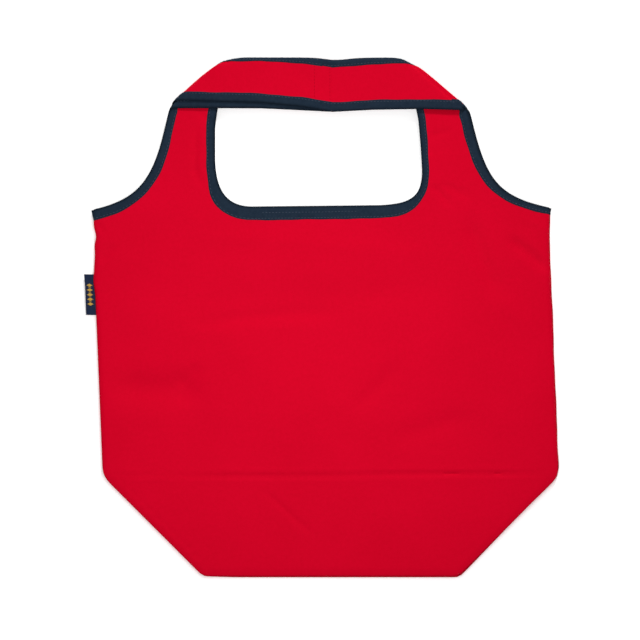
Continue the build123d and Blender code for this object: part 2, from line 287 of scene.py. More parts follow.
def resample(points, step):
    """The same line with evenly spaced points."""
    points = np.array(points, float)
    lengths = stations(points)
    count = max(2, int(round(lengths[-1] / step)) + 1)
    at = np.linspace(0, lengths[-1], count)
    return np.stack([np.interp(at, lengths, points[:, k]) for k in range(points.shape[1])], 1)


class Cloth:
    """The front or back of the bag: one cut cloth with two straps, and how it lies."""

    def __init__(self, name):
        self.name = name
        self.is_front = name == "front"
        self.outer_z = FRONT_Z if self.is_front else BACK_Z
        self.inner_z = FRONT_INNER_Z if self.is_front else BACK_INNER_Z
        self.band_z = FRONT_BAND_Z if self.is_front else BACK_BAND_Z
        self.strap_z = STRAP_Z[name]
        self.shift = (0.0, 0.0) if self.is_front else BACK_SHIFT
        self.wrinkles = FRONT_WRINKLES if self.is_front else BACK_WRINKLES
        self.roll_r = abs(self.outer_z - self.inner_z) / 2
        self.mitre_h = (self.band_z - self.strap_z) / 2
        self.mitre_reach = MITRE_REACH[name]
        self.mitre_arc = math.pi * math.sqrt((self.mitre_h**2 + self.mitre_reach**2) / 2)
        self.armholes = {s: self.armhole_edge(s) for s in (LEFT, RIGHT)}
        self.mouth = self.mouth_edge()

    # -- flat pattern

    def strap_frame(self, side):
        """Entry point, direction up the strap, across it towards the mouth, and out past the mitre."""
        facts = STRAP[side]
        up = unit(facts["angle"])
        across = np.array([up[1], -up[0]]) * -side
        mitre = unit((facts["angle"] + (0 if side == LEFT else 180)) / 2)
        outward = np.array([-mitre[1], mitre[0]]) * -side
        entry = np.array(facts["entry"])
        if self.is_front:
            entry = entry - up * FRONT_MITRE_SHORT
        return entry, up, across, outward

    def strap_point(self, side, across_by, up_by):
        """A pattern point on a strap, measured from its entry into the mitre."""
        entry, up, across, _ = self.strap_frame(side)
        return entry + across * across_by + up * up_by

    def band_length(self, side):
        """Pattern length of a strap past its mitre, to the middle of the handle."""
        entry, _, _, outward = self.strap_frame(side)
        return abs(entry[0] + outward[0] * self.mitre_arc)

    def mitre_rise(self, side, across_by):
        """How far up the strap the mitre fold crosses it, at a distance across."""
        _, up, across, outward = self.strap_frame(side)
        return -across_by * (across @ outward) / (up @ outward)

    def armhole_edge(self, side, extra=0.0):
        """From the top of the side seam, round the armhole, up the strap and to the handle's middle."""
        facts = STRAP[side]
        entry, up, _, _ = self.strap_frame(side)
        start = np.array([side * PATTERN_HALF, SHOULDER_Y - TAPE_OVER + facts["shoulder_rise"]])
        edge = bezier(
            start,
            start + unit(90 + side * 77.6) * facts["shoulder_pull"],
            entry - unit(facts["edge_angle"]) * facts["strap_pull"],
            entry,
            60,
        )
        return resample(np.vstack([edge, [entry + up * (self.band_length(side) + extra)]]), EDGE_STEP)

    def strap_inner_edge(self, side, extra):
        """From the handle's middle along the strap's inner edge, down to beside the mouth."""
        facts = STRAP[side]
        band = facts["band"]
        return [
            self.strap_point(side, BAND_WIDTH, self.band_length(side) + extra),
            self.strap_point(side, band, self.mitre_rise(side, band) + 8),
            self.strap_point(side, facts["width"], 0),
        ]

    def mouth_edge(self, extra=0.0):
        """From the handle's middle, down the left strap, round the mouth and up the right strap."""
        left = MOUTH_X - MOUTH_HALF - MOUTH_WIDER[LEFT]
        right = MOUTH_X + MOUTH_HALF + MOUTH_WIDER[RIGHT]
        low = MOUTH_Y - TAPE_OVER
        left_top, right_top = (left, 160), (right, 146)
        left_side = [*self.strap_inner_edge(LEFT, extra), (left, 190), left_top]
        right_side = [*self.strap_inner_edge(RIGHT, extra), (right - 1.4, 170), right_top]
        left_corner = bezier(left_top, (left, 132), (left + 8, low), (left + 38, low), 24)
        right_foot = (right - 42, low + 1.4)
        right_corner = bezier(right_foot, (right - 14, low + 3), (right + 0.2, low + 8), right_top, 24)
        sides = [fillet(line, STRAP_BENDS) for line in (left_side, right_side)]
        return resample(np.vstack([sides[0], left_corner, right_corner, sides[1][::-1]]), EDGE_STEP)

    def upper_outline(self):
        """The face above the split line, with its straps; their ends overlap in the handle's middle."""
        lap = LAP / 2
        left, right = self.armhole_edge(LEFT, lap), self.armhole_edge(RIGHT, lap)[::-1]
        edges = []
        for line in (left, self.mouth_edge(lap), right):
            edges.append(line + RAW_EDGE_IN * inward_of(line))
        edges.append(split_line()[::-1])
        joins = [resample([a[-1], b[0]], STEP)[1:-1] for a, b in zip(edges, edges[1:] + edges[:1])]
        return np.vstack([line for pair in zip(edges, joins) for line in pair])

    def lower_outline(self):
        """The lower face with its corner flaps, and below it the half of the bag's bottom."""
        gusset = GUSSET_Y - BOTTOM_Y
        points = [
            (-PATTERN_HALF, SPLIT_Y),
            (-PATTERN_HALF, BOTTOM_Y),
            (-BOTTOM_HALF, BOTTOM_Y),
            (-BOTTOM_HALF, BOTTOM_Y - gusset),
            (BOTTOM_HALF, BOTTOM_Y - gusset),
            (BOTTOM_HALF, BOTTOM_Y),
            (PATTERN_HALF, BOTTOM_Y),
            (PATTERN_HALF, SPLIT_Y),
        ]
        sides = [resample(pair, STEP)[:-1] for pair in zip(points, points[1:])]
        return np.vstack([*sides, split_line()[::-1][:-1]])

    def side_rows(self, low, high):
        """Mesh rows along the rounded side edges."""
        places = [s * (PATTERN_HALF - inset) for inset in EDGE_ROWS for s in (LEFT, RIGHT)]
        return [[(u, low), (u, high)] for u in places]

    def upper_rows(self):
        """Mesh rows along the folds of the upper part, so that the folds come out round."""
        rows = self.side_rows(SPLIT_Y + 1, SHOULDER_Y - 2)
        for side in (LEFT, RIGHT):
            _, _, across, outward = self.strap_frame(side)
            band, length = STRAP[side]["band"], self.band_length(side)
            for part in np.linspace(0, 1, 10):
                shift = outward * self.mitre_arc * part
                ends = []
                for a in (2.2, band - 2.2):
                    a0 = a - shift @ across
                    ends.append(self.strap_point(side, a0, self.mitre_rise(side, a0)) + shift)
                rows.append(ends)
            for inset in ROLL_ROWS:
                start = self.mitre_rise(side, band) + 6
                first = self.strap_point(side, band - inset, start)
                rows.append([first, self.strap_point(side, BAND_WIDTH - inset, length + LAP / 2 - 1)])
            for back in (-LAP / 2 + 1, LAP / 2 - 1, LAP / 2, LAP / 2 + 1):
                rows.append([self.strap_point(side, a, length - back) for a in (2.2, BAND_WIDTH - 2.2)])
        return rows

    def lower_rows(self):
        """Mesh rows along the bottom fold, the corner folds and the side edges."""
        rows = self.side_rows(GUSSET_Y + 3, SPLIT_Y - 1)
        diagonal = math.sqrt(2)
        for part in (-0.25, 0, 0.17, 0.34, 0.5, 0.66, 0.83, 1, 1.25):
            past = math.pi * self.roll_r * part
            rise = self.roll_r - past
            reach = BOTTOM_HALF - (diagonal - 1) * rise
            level = BOTTOM_Y + rise
            foot = min(reach, BOTTOM_HALF - 1)
            rows.append([(-foot, level), (foot, level)])
            low = max(level, BOTTOM_Y + 1)
            for side in (LEFT, RIGHT):
                x_low = reach + low - level
                x_high = PATTERN_HALF - 1
                rows.append([(side * (x_low + 0.3), low + 0.3), (side * x_high, low + x_high - x_low)])
        return rows

    # -- how the pattern lies

    def surface(self, u, v, lap=0.0):
        """Where pattern points lie, as an array of (x, y, z). The strap ends are lapped by 2 * lap."""
        side = np.where(u < 0, -1.0, 1.0)
        x, y, z = u.copy(), v.copy(), np.full_like(u, self.outer_z)
        x, z = self.round_side_edges(side, u, v, x, z)
        x, y, z, turned = self.fold_bottom(side, x, y, z)
        x, y = soften_corners(side, x, y)
        height = self.waves(x, y) * np.cos(turned * math.pi)
        root = 1 - smooth((v - STRAP_ROOT_Y) / 40)
        z = z + np.where(turned > 0.5, 0.25, 1.0) * height * root + self.wrinkling(x, y) * (turned < 0.1)
        z = z + self.pucker(u, v) * (1.0 if self.is_front else 0.5)
        x, y, z = self.fold_straps(side, u, v, x, y, z, lap)
        x = x + np.interp(y, [GUSSET_Y, 60, SHOULDER_Y + 3, STRAP_ROOT_Y], [LEAN, 0, 0, 0])
        left_wave = 2.3 * bell(y, 80, 7) + 1.15 * bell(y, 62, 9) - 1.3 * bell(y, 35, 9)
        x = x + left_wave * bell(x, -HALF_WIDTH, 24)
        x = x + 0.3 * ripple(y, 0 * y, 34, 5 + self.is_front) * bell(x, HALF_WIDTH, 25)
        x = x + self.shift[0] * smooth((x + 150) / 250)
        y = y + self.shift[1] * smooth((BOTTOM_Y + 60 - y) / 60) * smooth((x + 150) / 70)
        return np.stack([x, y, z], 1)

    def round_side_edges(self, side, u, v, x, z):
        """Down to the side seam over the last few millimetres, above the corner folds."""
        inset = PATTERN_HALF - abs(u)
        arc = EDGE_R + EDGE_EXTRA
        turn = np.clip(inset / arc, 0, 1) * math.pi / 2
        round_x = HALF_WIDTH - np.where(inset < arc, EDGE_R * (1 - np.cos(turn)), inset - EDGE_EXTRA)
        round_x = np.where(inset < 0, HALF_WIDTH - inset, round_x)
        share_x = smooth((v - GUSSET_Y + 18) / 14)
        share_z = smooth((v - GUSSET_Y - 1) / 10)
        gap = 0.25 + 0.5 * smooth((v - SHOULDER_Y + 26) / 12)
        drop = abs(self.outer_z - SEAM_Z) - gap
        z = z - share_z * np.sign(self.outer_z - SEAM_Z) * drop * (1 - np.sin(turn))
        return x + share_x * (side * round_x - x), z

    def fold_bottom(self, side, x, y, z):
        """Over the bottom fold and the two corner folds, inward between the layers."""
        r = self.roll_r
        past_bottom = BOTTOM_Y + r - y
        past_corner = (abs(x) - HALF_WIDTH - (y - GUSSET_Y)) / math.sqrt(2) + r
        over_bottom = past_bottom > past_corner
        past = np.maximum(past_bottom, past_corner)
        theta = np.clip(past / r, 0, math.pi)
        out = np.where(past <= 0, past, np.where(theta < math.pi, r * np.sin(theta), math.pi * r - past))
        move = out - past
        x = x + np.where(over_bottom, 0, side * move / math.sqrt(2))
        y = y - np.where(over_bottom, move, move / math.sqrt(2))
        z = z + (self.inner_z - self.outer_z) / 2 * (1 - np.cos(theta))
        return x, y, z, theta / math.pi

    def fold_straps(self, side, u, v, x, y, z, lap):
        """Each strap turns over its mitre and runs level to the middle, its far edge rolled down."""
        on_strap = v > STRAP_ROOT_Y
        rise = smooth((v - STRAP_ROOT_Y) / 40)
        z = np.where(on_strap, z + rise * (self.strap_z - self.outer_z), z)
        for which in (LEFT, RIGHT):
            entry, _, across, outward = self.strap_frame(which)
            past = (u - entry[0]) * outward[0] + (v - entry[1]) * outward[1]
            mine = on_strap & (side == which)
            theta = np.clip(past / self.mitre_arc, 0, 1) * math.pi
            out = np.where(past < self.mitre_arc, self.mitre_reach * np.sin(theta), self.mitre_arc - past)
            out = np.where(past < 0, past, out)
            fold_x = u + outward[0] * (out - past)
            fold_y = v + outward[1] * (out - past)
            fold_z = z + self.mitre_h * (1 - np.cos(theta))
            fold_x, fold_y = round_tip(fold_x, fold_y, entry, across, outward, self.mitre_reach)
            level = entry[1] + outward[1] * self.mitre_arc
            share = smooth(theta / math.pi)
            fold_y, fold_z = self.shape_band(fold_x, fold_y, fold_z, level, share)
            on_lap = smooth((LAP / 2 + 3 - fold_x * which) / 3) * (past > self.mitre_arc)
            fold_z = fold_z - which * lap * on_lap
            x, y, z = np.where(mine, fold_x, x), np.where(mine, fold_y, y), np.where(mine, fold_z, z)
        return x, y, z

    def shape_band(self, x, y, z, level, share):
        """Moves a handle's level run to where it lies, and rolls its upper edge down."""
        top = handle_top(x) - BAND_ROLL_IN[self.name]
        roll_r = BAND_ROLL_R[self.name]
        low = height_at(x, HANDLE_LOW[self.name])
        start = top - roll_r - low
        q = y - level
        angle = np.clip((q - start) / roll_r, 0, MAX_ROLL)
        beyond = np.maximum(q - start - roll_r * MAX_ROLL, 0)
        rolled_y = low + np.where(q < start, q, start + roll_r * np.sin(angle) + beyond * math.cos(MAX_ROLL))
        rolled_z = z - roll_r * (1 - np.cos(angle)) - beyond * math.sin(MAX_ROLL)
        wave = 0.22 * ripple(x, y, 48, 21) + 0.08 * ripple(x, y, 15, 22)
        limit = top - 1.5
        squeezed_y = np.where(y > limit - 3, limit - 3 * np.exp(-np.maximum(y - limit + 3, 0) / 3), y)
        return squeezed_y + share * (rolled_y - squeezed_y), z + share * (rolled_z - z + wave)

    def waves(self, x, y):
        """Gentle heights of laid cloth. The back lies flatter than the front."""
        calm = smooth((HALF_WIDTH - abs(x)) / 25) * 0.85 + 0.15
        from_folds = np.minimum(corner_distance(x, y), y - BOTTOM_Y)
        crease = gusset_crease(x, y) + corner_dents(x, y) - 0.75 * (1 - smooth(from_folds / 6.5))
        if not self.is_front:
            return 0.1 * calm * (1 + ripple(x, y, 70, 3)) - 0.5 * crease
        height = 0.5 * ripple(x, y, 150, 11) + 0.16 * ripple(x, y, 60, 12) + 0.05 * ripple(x, y, 20, 13)
        height = calm * height * (1 - 0.45 * smooth((GUSSET_Y + 10 - y) / 30))
        return height + crease - 0.9 * bell(x, MOUTH_X, 70) * bell(y, MOUTH_Y, 16)

    def wrinkling(self, x, y):
        """The soft folds, each highest in the middle of its length."""
        total = np.zeros_like(x)
        for (x0, y0), (x1, y1), width, height in self.wrinkles:
            run = math.hypot(x1 - x0, y1 - y0)
            along = ((x - x0) * (x1 - x0) + (y - y0) * (y1 - y0)) / run / run
            aside = ((x - x0) * (y1 - y0) - (y - y0) * (x1 - x0)) / run
            bend = 0.06 * run * np.sin(along * 3.0 + x0) * 0.5
            fade = smooth(along / 0.35 + 0.2) * smooth((1 - along) / 0.35 + 0.2)
            total += height * fade * bell(aside, bend, width)
        return total

    def pucker(self, u, v):
        """Small gathers beside the taped edges."""
        total = np.zeros_like(u)
        edges = (self.mouth, self.armholes[LEFT], self.armholes[RIGHT])
        for edge, width in zip(edges, GATHERS_FROM):
            gap, station = nearest(edge, u, v)
            fade = np.exp(-np.clip(gap - width + 2, 0, None) / 5.0) * smooth((gap - 3) / 6)
            total += GATHER_HEIGHT * fade * np.sin(station / 1.45 + 1.6 * np.sin(station / 7.3))
        return total * (1 - smooth((v - GATHERS_TOP_V) / 10))

    def place(self, u, v, h, lap=0.0):
        """Pattern points raised by h along the cloth's own normal."""
        step = 0.05
        across = self.surface(u + step, v, lap) - self.surface(u - step, v, lap)
        along = self.surface(u, v + step, lap) - self.surface(u, v - step, lap)
        normal = np.cross(across, along)
        normal /= np.linalg.norm(normal, axis=1)[:, None] + 1e-12
        return self.surface(u, v, lap) + normal * np.asarray(h, float)[:, None]


def handle_top(x):
    """The handles' upper silhouette, which drops away towards each mitre."""
    left = np.maximum(-x - 74, 0) / 12.4
    right = np.maximum(x - 66, 0) / 11.7
    return TOP_Y - 0.4 - 2.2 * bell(x, 14, 16) - left**2 - right**2


def round_tip(x, y, entry, across, outward, reach):
    """Rounds the outline where a strap's outer edge meets its mitre fold."""
    from_edge = (x - entry[0]) * across[0] + (y - entry[1]) * across[1] + TAPE_OVER
    from_fold = reach - (x - entry[0]) * outward[0] - (y - entry[1]) * outward[1]
    near = np.maximum(TIP_K - abs(from_edge - from_fold), 0) / TIP_K
    push = near**2 * TIP_K / 4 * np.exp(-np.clip(np.minimum(from_edge, from_fold), 0, None) / 9)
    inward = across - outward
    inward = inward / np.linalg.norm(inward)
    return x + inward[0] * push, y + inward[1] * push


def split_line():
    """Points of the line where the upper and lower meshes meet, closer together at the rounded sides."""
    half = PATTERN_HALF - EDGE_ROWS[-1]
    edge = resample([(-PATTERN_HALF, SPLIT_Y), (-half, SPLIT_Y)], 1.1)
    middle = resample([(-half, SPLIT_Y), (half, SPLIT_Y)], STEP)
    return np.vstack([edge, middle[1:-1], edge[::-1] * [-1, 1]])


def soften_corners(side, x, y):
    """Rounds the outline where the side edges, corner folds and bottom fold meet."""
    from_side = HALF_WIDTH - abs(x)
    from_corner = corner_distance(x, y)
    from_bottom = y - BOTTOM_Y
    slant = np.array([-1.0, 1.0]) / math.sqrt(2)
    for a, b, na, nb, k in (
        (from_side, from_corner, np.array([-1.0, 0.0]), slant, CORNER_K),
        (from_corner, from_bottom, slant, np.array([0.0, 1.0]), FOOT_K),
    ):
        depth = np.minimum(a, b)
        push = (np.maximum(k - abs(a - b), 0) / k) ** 2 * k / 4 * np.exp(-np.clip(depth, 0, None) / 22)
        inward = (na + nb) / np.linalg.norm(na + nb)
        x = x + side * inward[0] * push
        y = y + inward[1] * push
    return x, y


def corner_distance(x, y):
    """How far a point of a face lies inside the corner folds."""
    return (HALF_WIDTH - abs(x) + y - GUSSET_Y) / math.sqrt(2)


def gusset_crease(x, y):
    """The pressed line over the gusset's inner edge, strongest in the middle and right."""
    line = GUSSET_Y + 0.4 + 1.6 * smooth((x + 40) / 160)
    strength = 0.5 + 0.7 * smooth((x + 150) / 60) * smooth((200 - x) / 40)
    strength = strength * smooth((HALF_WIDTH - 8 - abs(x)) / 20) * (1 + 0.12 * ripple(x, 0 * x, 40, 31))
    groove = -0.8 * bell(y, line, 1.6) + 0.2 * bell(y, line + 4.2, 3.0) + 0.1 * bell(y, line - 4.6, 3.0)
    return strength * groove


def corner_dents(x, y):
    """A row of small dents inside the corner folds, where the seams within press through."""
    inside = corner_distance(x, y)
    along = (abs(x) + y) / math.sqrt(2)
    strength = np.where(x < 0, 1.0, 0.5) * smooth((GUSSET_Y - 2 - y) / 12) * smooth((y - BOTTOM_Y - 4) / 8)
    spots = 0.5 + 0.5 * np.sin(along / 2.1 + 1.3 * np.sin(along / 9.0))
    return strength * (-0.5 * spots * bell(inside, 9.0, 1.8) + 0.15 * bell(inside, 5.0, 3))


def nearest(line, u, v):
    """Distance from each pattern point to a line, and how far along it the nearest point is."""
    coarse = line[::2]
    gap, best = closest(coarse, np.stack([u, v], 1))
    ahead = directions(coarse)[best]
    offset = (u - coarse[best, 0]) * ahead[:, 0] + (v - coarse[best, 1]) * ahead[:, 1]
    return gap, stations(coarse)[best] + offset


def closest(line, points):
    """Distance from each point to the closest point of a dense line, and the number of that point."""
    gap, best = np.empty(len(points)), np.empty(len(points), int)
    for start in range(0, len(points), 4000):
        part = slice(start, start + 4000)
        d2 = (points[part, None, 0] - line[None, :, 0]) ** 2 + (points[part, None, 1] - line[None, :, 1]) ** 2
        best[part] = d2.argmin(1)
        gap[part] = np.sqrt(d2.min(1))
    return gap, best


# ---------------------------------------------------------------- meshes


def join_parts(name, parts, materials, sharp=50):
    """One mesh object from (points in mm, faces, one uv per point in mm, material slot) parts."""
    verts, faces, uvs, slots, base = [], [], [], [], 0
    for part_verts, part_faces, part_uvs, slot in parts:
        verts.append(part_verts)
        uvs.append(part_uvs)
        faces += [tuple(i + base for i in f) for f in part_faces]
        slots += [slot] * len(part_faces)
        base += len(part_verts)
    mesh = bpy.data.meshes.new(name)
    mesh.from_pydata((np.vstack(verts) * MM).tolist(), [], faces)
    mesh.validate()
    layer = mesh.uv_layers.new(name="Pattern")
    loops = np.empty(len(mesh.loops), int)
    mesh.loops.foreach_get("vertex_index", loops)
    layer.data.foreach_set("uv", (np.vstack(uvs) * MM)[loops].astype(np.float32).ravel())
    for material in materials:
        mesh.materials.append(material)
    mesh.polygons.foreach_set("material_index", np.asarray(slots, np.int32))
    mesh.shade_smooth()
    mesh.set_sharp_from_angle(angle=math.radians(sharp))
    obj = bpy.data.objects.new(name, mesh)
    bpy.context.scene.collection.objects.link(obj)
    return obj


def triangulate(outline, rows):
    """Fills a pattern outline with an even mesh that keeps the given rows. Returns points and triangles."""
    low, high = outline.min(0), outline.max(0)
    row_height = STEP * math.sqrt(3) / 2
    grid = []
    for number, v in enumerate(np.arange(low[1], high[1], row_height)):
        us = np.arange(low[0] + (number % 2) * STEP / 2, high[0], STEP)
        grid.append(np.stack([us, np.full_like(us, v)], 1))
    grid = np.vstack(grid)
    rows = [resample(row, STEP) for row in rows]
    grid = grid[closest(np.vstack([outline, *rows]), grid)[0] > 0.6 * STEP]
    points, edges = [outline], [(i, (i + 1) % len(outline)) for i in range(len(outline))]
    base = len(outline)
    for row in rows:
        points.append(row)
        edges += [(base + i, base + i + 1) for i in range(len(row) - 1)]
        base += len(row)
    points = np.vstack([*points, grid])
    face = list(range(len(outline)))
    found = geometry.delaunay_2d_cdt([Vector(p) for p in points], edges, [face], 1, 1e-4)
    triangles = np.array([tuple(t) for t in found[2]])
    used, renumbered = np.unique(triangles, return_inverse=True)
    return np.array([tuple(p) for p in found[0]])[used], renumbered.reshape(triangles.shape).tolist()


def polygon_area(points):
    x, y = points[:, 0], points[:, 1]
    return abs(np.dot(x, np.roll(y, -1)) - np.dot(y, np.roll(x, -1))) / 2


def cloth_mesh(name, cloth, outline, rows):
    """A closed thin sheet over a pattern outline, with the outline's width, length and area."""
    flat, triangles = triangulate(outline, rows)
    u, v = flat[:, 0], flat[:, 1]
    half = np.full(len(u), CLOTH_THICK / 2)
    verts = np.vstack([cloth.place(u, v, half, LAP_LIFT), cloth.place(u, v, -half, LAP_LIFT)])
    count = len(u)
    directed = {edge for a, b, c in triangles for edge in ((a, b), (b, c), (c, a))}
    rim = [(a, b) for a, b in directed if (b, a) not in directed]
    faces = [tuple(t) for t in triangles]
    faces += [(c + count, b + count, a + count) for a, b, c in triangles]
    faces += [(b, a, a + count, b + count) for a, b in sorted(rim)]
    underside_at = [0, 2000]  # keeps the two faces of the cloth apart in the weave's coordinates
    uvs = np.vstack([flat, flat + underside_at])
    obj = join_parts(name, [(verts, faces, uvs, 0)], [RED_CLOTH], sharp=40)
    return obj, outline.max(0) - outline.min(0), polygon_area(outline)


# ---------------------------------------------------------------- materials


class Shader:
    """A material as it is made: its nodes, and the inputs of its principled shader."""

    def __init__(self, name):
        self.material = bpy.data.materials.new(name)
        self.material.use_nodes = True
        self.nodes = self.material.node_tree.nodes
        self.inputs = self.nodes["Principled BSDF"].inputs

    def feed(self, sockets, values):
        """Each value is a plain one, set on its socket, or another node's output, linked to it."""
        for name, value in values.items():
            if isinstance(value, bpy.types.NodeSocket):
                self.material.node_tree.links.new(value, sockets[name])
            else:
                sockets[name].default_value = value

    def add(self, kind, values, **settings):
        """A new node; returns its outputs."""
        node = self.nodes.new("ShaderNode" + kind)
        for key, value in settings.items():
            setattr(node, key, value)
        self.feed(node.inputs, values)
        return node.outputs


def weave(shader, place, pitch, angle, depth):
    """Bump of a plain weave of the given thread pitch in metres, plus uneven yarns."""
    turned = shader.add("Mapping", {"Vector": place, "Rotation": (0, 0, math.radians(angle))})["Vector"]
    sine_scale = 1 / pitch / 3.18
    wave = {"Vector": turned, "Scale": sine_scale, "Distortion": 1.2, "Detail": 1.0, "Detail Scale": 2.0}
    warp = shader.add("TexWave", wave, bands_direction="X", wave_profile="SIN")["Fac"]
    weft = shader.add("TexWave", wave, bands_direction="Y", wave_profile="SIN")["Fac"]
    crossings = shader.add("Math", {0: warp, 1: weft}, operation="MULTIPLY")[0]
    yarns = shader.add("TexNoise", {"Vector": turned, "Scale": 420.0, "Detail": 3.0, "Roughness": 0.6})["Fac"]
    height = shader.add("Math", {0: yarns, 1: 0.8, 2: crossings}, operation="MULTIPLY_ADD")[0]
    return shader.add("Bump", {"Height": height, "Strength": depth, "Distance": 0.12 * MM})["Normal"]


def mottled(shader, place, dark, light):
    """Colour that drifts between two tones in broad patches and fine flecks."""
    broad = {"Vector": place, "Scale": 14.0, "Detail": 2.0, "Roughness": 0.5}
    fine = {"Vector": place, "Scale": 260.0, "Detail": 2.0, "Roughness": 0.7}
    patches, flecks = (shader.add("TexNoise", values)["Fac"] for values in (broad, fine))
    blend = shader.add("Mix", {"Factor": 0.6, "A": patches, "B": flecks}, data_type="FLOAT")["Result"]
    ramp = shader.nodes.new("ShaderNodeValToRGB")
    for stop, position, tone in zip(ramp.color_ramp.elements, (0.3, 0.7), (dark, light)):
        stop.position = position
        stop.color = (*tone, 1)
    shader.feed(ramp.inputs, {"Fac": blend})
    return ramp.outputs["Color"]


def painted_fold_shade(shader, place, colour):
    """Painted shade: the tape's colour is darkened along its fold, which is at the pattern's zero height,
    where the rolled edge turns away from the light.
    """
    across = shader.add("SeparateXYZ", {"Vector": place})["Y"]
    off = shader.add("Math", {0: across}, operation="ABSOLUTE")[0]
    fold_shade_range = {"Value": off, "From Max": 3.4 * MM, "To Min": 0.5, "To Max": 1.0}
    shade = shader.add("MapRange", fold_shade_range, interpolation_type="SMOOTHSTEP")["Result"]
    mix = {"Factor": 1.0, "A": colour, "B": shade}
    return shader.add("Mix", mix, data_type="RGBA", blend_type="MULTIPLY")["Result"]


def fabric(name, dark, light, pitch, angle, depth, roughness, sheen, with_fold_shade=False):
    shader = Shader(name)
    place = shader.add("UVMap", {}, uv_map="Pattern")["UV"]
    colour = mottled(shader, place, dark, light)
    # painted shade along the tape's fold
    if with_fold_shade:
        colour = painted_fold_shade(shader, place, colour)
    shader.feed(shader.inputs, {
        "Base Color": colour,
        "Normal": weave(shader, place, pitch, angle, depth),
        "Roughness": roughness,
        "Specular IOR Level": 0.02,
        "Sheen Weight": sheen,
        "Sheen Roughness": 0.4,
        "Sheen Tint": (*(min(1.0, 0.1 + c) for c in light), 1),
    })
    return shader.material


RED_CLOTH = fabric("red_taffeta", (0.535, 0.0, 0.014), (0.585, 0.0, 0.017), 0.0008, 0, 0.5, 0.6, 0.0)
# The navy tape carries painted shade along its fold, where its rolled edge turns away from the light.
NAVY_TAPE = fabric("navy_bias_tape", (0.009, 0.017, 0.030), (0.015, 0.026, 0.043), 0.0009, 45, 0.6, 0.8, 0.01,
                   with_fold_shade=True)
NAVY_THREAD = fabric("navy_thread", (0.036, 0.048, 0.075), (0.062, 0.080, 0.115), 0.0004, 30, 0.6, 0.6, 0.05)
RED_THREAD = fabric("red_thread", (0.36, 0.0, 0.010), (0.46, 0.0, 0.014), 0.0004, 30, 0.6, 0.6, 0.05)
LABEL_SATIN = fabric("label_satin", (0.010, 0.017, 0.040), (0.017, 0.026, 0.056), 0.0003, 0, 0.5, 0.45, 0.05)
GOLD_THREAD = fabric("gold_thread", (0.45, 0.27, 0.05), (0.62, 0.40, 0.09), 0.0003, 20, 0.6, 0.4, 0.05)

# ---------------------------------------------------------------- tapes and stitches

MIDDLE_TAPE = {"mouth": 9.6, "outer": 9.1}  # widths in the middle of a handle
LOWEST_TAPE = 13.0  # width under the mouth
# Width of the outer tapes up each side of the pattern, as (v, width) points.
OUTER_TAPE = {
    LEFT: ((107, 10.0), (125, 8.8), (165, 8.6), (205, 7.6), (235, 8.7)),
    RIGHT: ((107, 5.8), (122, 7.2), (151, 9.0), (182, 10.2), (203, 9.6), (213, 7.4), (235, 9.2)),
}


def tape_width(spots, kind):
    """Finished width of a tape at pattern points: it was wrapped unevenly, widest under the mouth."""
    u, v = spots[:, 0], spots[:, 1]
    right = smooth((u + 20) / 40)
    on_handle, in_middle = smooth((v - 225) / 40), smooth((v - 305) / 45)
    if kind == "mouth":
        width = 8.1 - 1.4 * right
        width = width + (10.8 - 2.0 * right - width) * on_handle
        width = width + (MIDDLE_TAPE[kind] - width) * in_middle
        return width + (LOWEST_TAPE - width) * smooth((MOUTH_Y + 34 - 20 * right - v) / (30 - 14 * right))
    width = height_at(v, OUTER_TAPE[LEFT])
    width = width + (height_at(v, OUTER_TAPE[RIGHT]) - width) * right
    return width + (MIDDLE_TAPE[kind] - width) * in_middle


class Edge:
    """The edge of a cloth that a tape binds: one or more pattern lines, joined end to end on the bag."""

    def __init__(self, cloth, lines, kind):
        self.cloth = cloth
        self.spots = np.vstack(lines)
        self.inward = np.vstack([inward_of(line) for line in lines])
        self.width = tape_width(self.spots, kind)
        gaps = [np.r_[0.0, np.linalg.norm(np.diff(line, axis=0), axis=1)] for line in lines]
        self.station = np.cumsum(np.concatenate(gaps))
        self.ends = np.cumsum([len(line) for line in lines])

    def at(self, station):
        """Pattern point, inward direction and tape width at distances along the edge."""
        columns = (*self.spots.T, *self.inward.T, self.width)
        found = [np.interp(station, self.station, column) for column in columns]
        return np.stack(found[:2], 1), np.stack(found[2:4], 1), found[4]

    def spans(self):
        """First and last station of each pattern line."""
        starts = np.r_[0, self.ends[:-1]]
        return [(self.station[a], self.station[b - 1]) for a, b in zip(starts, self.ends)]


def tape_profile():
    """The tape's section: share of its width or plain distance in from the edge, height, and which it is."""
    hollow = CLOTH_THICK / 2 + 0.06
    skin = 0.24
    face = [(1.0, hollow + skin * 0.6), (0.975, hollow + skin), (0.88, TAPE_TOP * 0.84), (0.76, TAPE_TOP),
            (0.64, TAPE_TOP), (0.52, TAPE_TOP * 0.98), (0.4, TAPE_TOP * 0.95), (0.29, TAPE_TOP * 0.9),
            (0.19, TAPE_TOP * 0.83), (0.1, TAPE_TOP * 0.74)]
    nose = [(-TAPE_OVER * 0.65, TAPE_TOP * 0.52), (-TAPE_OVER, 0.0), (-TAPE_OVER * 0.65, -TAPE_TOP * 0.52)]
    inside = [(q, hollow) for q in (0.1, 0.3, 0.5, 0.7, 0.85, 1.0)]
    profile = [(q, h, True) for q, h in face] + [(q, h, False) for q, h in nose]
    profile += [(q, -h, True) for q, h in face[::-1]]
    return profile + [(q, -h, True) for q, h in inside[::-1]] + [(q, h, True) for q, h in inside]


def tube_faces(rings, sides, closed=False, turned=False):
    """Faces of a tube of rings, closed into a loop or capped at both ends, and turned inside out if asked."""
    faces = []
    for i in range(rings if closed else rings - 1):
        here, ahead = i * sides, (i + 1) % rings * sides
        for j in range(sides):
            k = (j + 1) % sides
            face = (here + j, here + k, ahead + k, ahead + j)
            faces.append((face[0], *face[:0:-1]) if turned else face)
    if not closed:
        first, last = tuple(range(sides)), tuple(range((rings - 1) * sides, rings * sides))
        faces += [first, last[::-1]] if turned else [first[::-1], last]
    return faces


